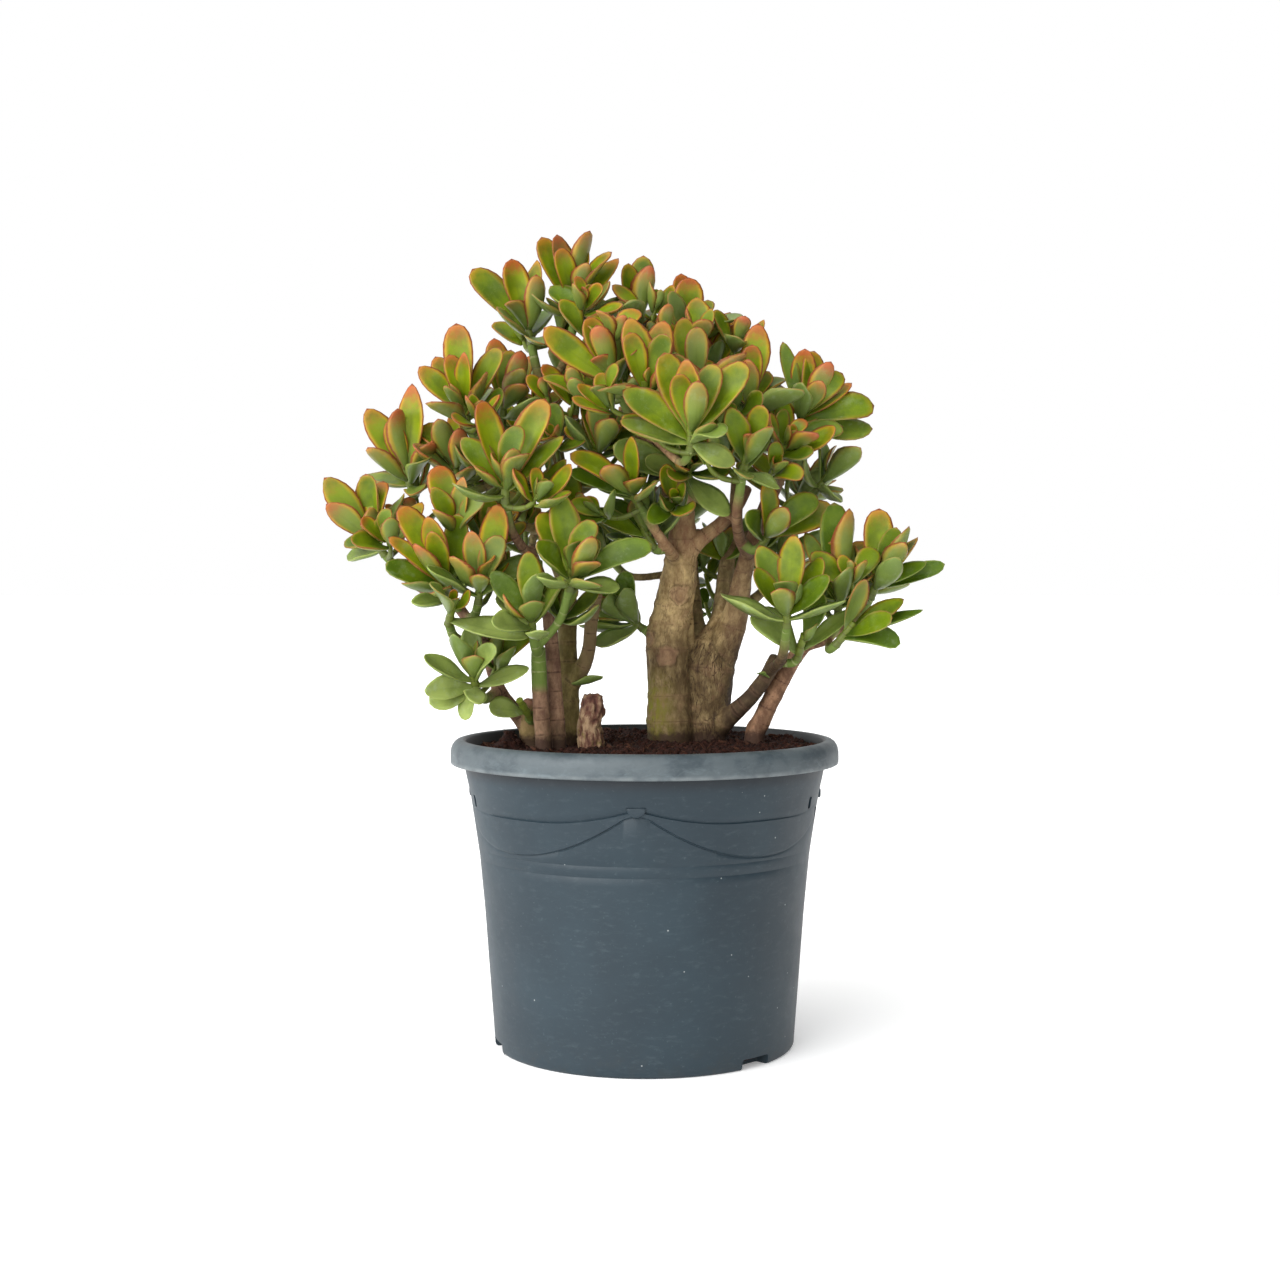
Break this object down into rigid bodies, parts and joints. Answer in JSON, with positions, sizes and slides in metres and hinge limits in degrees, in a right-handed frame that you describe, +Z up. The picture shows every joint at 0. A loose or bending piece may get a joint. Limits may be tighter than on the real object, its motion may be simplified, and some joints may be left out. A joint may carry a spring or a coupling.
{
  "type": "potted jade plant",
  "caption": "Branching jade plant with woody stems and fleshy red-edged leaves, growing in peat in a round flared plastic nursery pot.",
  "frame": {"origin": "centre of the pot's underside", "axes": "+Z up, front of the plant towards -Y, +X to the right as seen from the front"},
  "size_m": [0.4156, 0.2871, 0.5523],
  "materials": {
    "pot": "slate blue-grey moulded plastic, slightly scuffed",
    "soil": "moist dark peat",
    "bark": "tan bark with rings and fissures",
    "olive_bark": "olive brown bark",
    "brown_bark": "brown bark with pale rings",
    "leaf": "fleshy glossy green with red edges"
  },
  "bodies": {
    "root": {"pot": "pot", "soil": "soil", "trunk_right": "bark", "stem_right": "bark", "trunk_left": "olive_bark", "stem_brown": "brown_bark", "stem_ringed": "brown_bark", "stem_outer": "brown_bark", "stump": "brown_bark", "shoot_left_tip": "leaf", "shoot_left_high": "leaf", "shoot_left_crown": "leaf", "shoot_left_inner": "leaf", "shoot_left_front": "leaf", "shoot_left_peak": "leaf", "shoot_top": "leaf", "shoot_mid_pink": "leaf", "shoot_mid_front": "leaf", "shoot_mid_back": "leaf", "shoot_peak_right": "leaf", "shoot_mid_red": "leaf", "shoot_right_crown": "leaf", "shoot_centre": "leaf", "shoot_centre_low": "leaf", "shoot_right_twig": "leaf", "shoot_right_high": "leaf", "shoot_right_mid": "leaf", "shoot_right_out": "leaf", "shoot_right_bright": "leaf", "shoot_right_low_high": "leaf", "shoot_right_low_tip": "leaf", "shoot_right_low_front": "leaf", "shoot_right_low_broad": "leaf", "shoot_right_low_out": "leaf", "shoot_left_low": "leaf", "shoot_left_low_inner": "leaf", "shoot_left_foot": "leaf", "shoot_left_between": "leaf", "shoot_left_droop": "leaf", "shoot_left_pale": "leaf", "shoot_left_bottom": "leaf", "shoot_left_centre": "leaf", "shoot_left_big": "leaf", "shoot_gap_upper": "leaf", "shoot_gap_lower": "leaf", "shoot_inner_left": "leaf", "shoot_trunk_side": "leaf", "shoot_trunk_top": "leaf", "shoot_behind_right": "leaf", "shoot_back_1": "leaf", "shoot_back_2": "leaf", "shoot_back_3": "leaf", "shoot_back_4": "leaf", "shoot_back_5": "leaf", "shoot_back_6": "leaf", "shoot_back_7": "leaf", "shoot_back_8": "leaf", "shoot_back_9": "leaf", "shoot_back_10": "leaf", "shoot_back_11": "leaf"}
  },
  "joints": []
}
